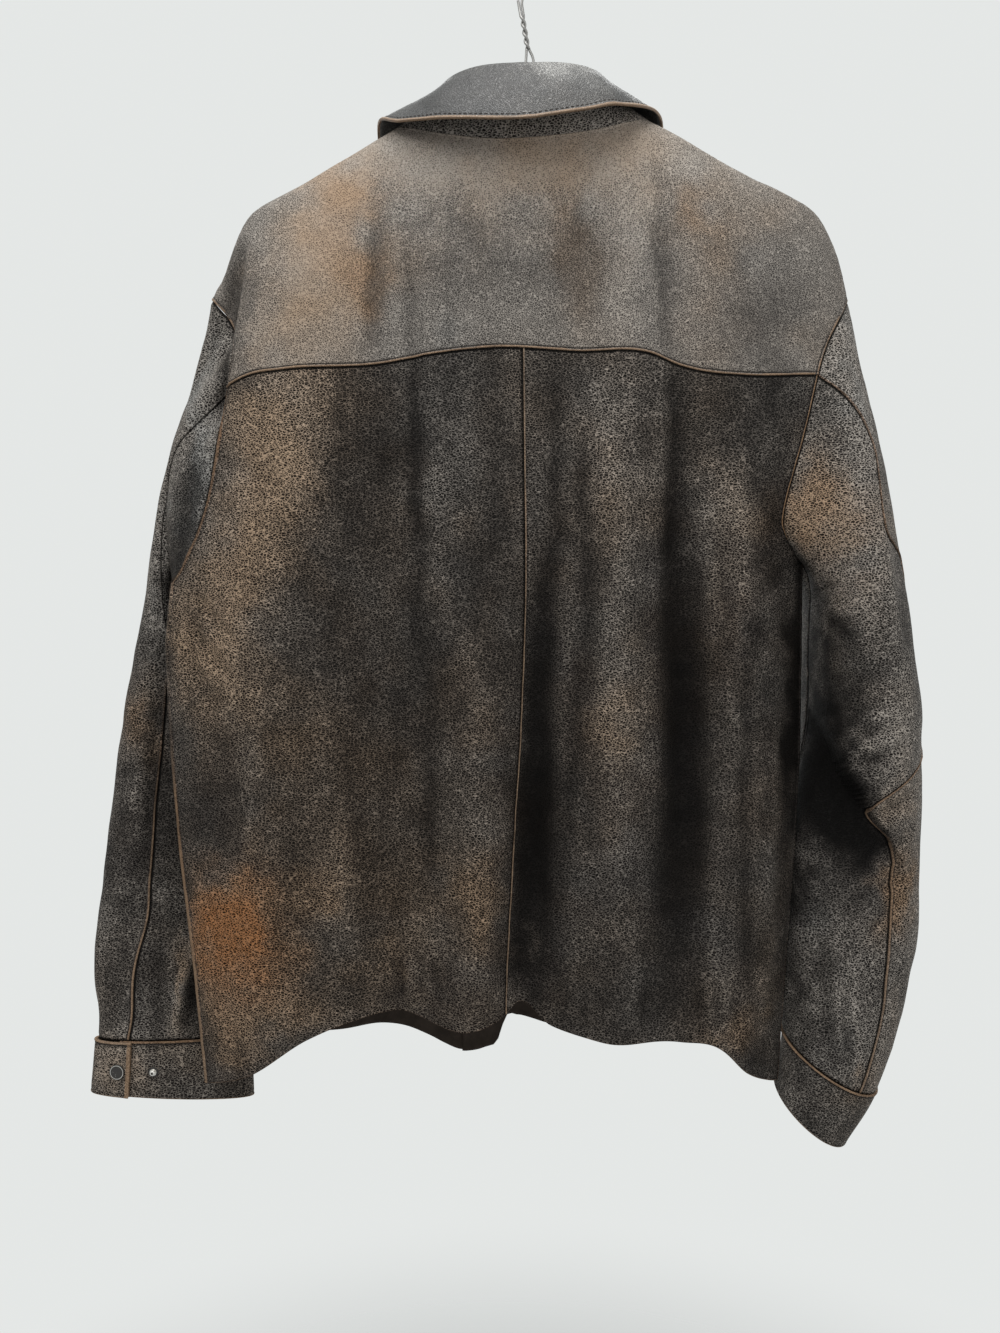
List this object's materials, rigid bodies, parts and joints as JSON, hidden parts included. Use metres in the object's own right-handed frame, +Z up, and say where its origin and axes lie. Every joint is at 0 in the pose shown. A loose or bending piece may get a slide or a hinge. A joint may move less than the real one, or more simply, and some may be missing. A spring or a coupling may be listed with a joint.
{
  "type": "leather coat on a wire hanger",
  "caption": "Worn brown leather coat with a turned-down collar, back yoke, two-piece sleeves and snap cuffs, hanging flat on a twisted wire hanger.",
  "frame": {"origin": "inner top of the hanger's hook, where it rests on a rail", "axes": "+Z up, -Y towards the coat's back, +X towards the wearer's right"},
  "size_m": [0.7154, 0.1532, 1.0032],
  "materials": {
    "coat_leather": "worn, pebbled, low sheen",
    "collar_leather": "worn smooth, satin",
    "snap_cap": "satin",
    "snap_metal": "worn nickel",
    "wire": "bare drawn wire"
  },
  "bodies": {
    "root": {"yoke": "coat_leather", "back_left": "coat_leather", "back_right": "coat_leather", "front_left": "coat_leather", "front_right": "coat_leather", "collar_stand": "collar_leather", "collar_leaf": "collar_leather", "sleeve_left_top": "coat_leather", "sleeve_left_under": "coat_leather", "sleeve_right_top": "coat_leather", "sleeve_right_under": "coat_leather", "cuff_left": "coat_leather", "cuff_right": "coat_leather", "cuff_left_cap": "snap_cap", "cuff_left_stud": "snap_metal", "cuff_right_cap": "snap_cap", "front_snap_1": "snap_cap", "front_snap_2": "snap_cap", "front_snap_3": "snap_cap", "front_snap_4": "snap_cap", "front_snap_5": "snap_cap", "front_snap_6": "snap_cap", "hanger": "wire"}
  },
  "joints": []
}
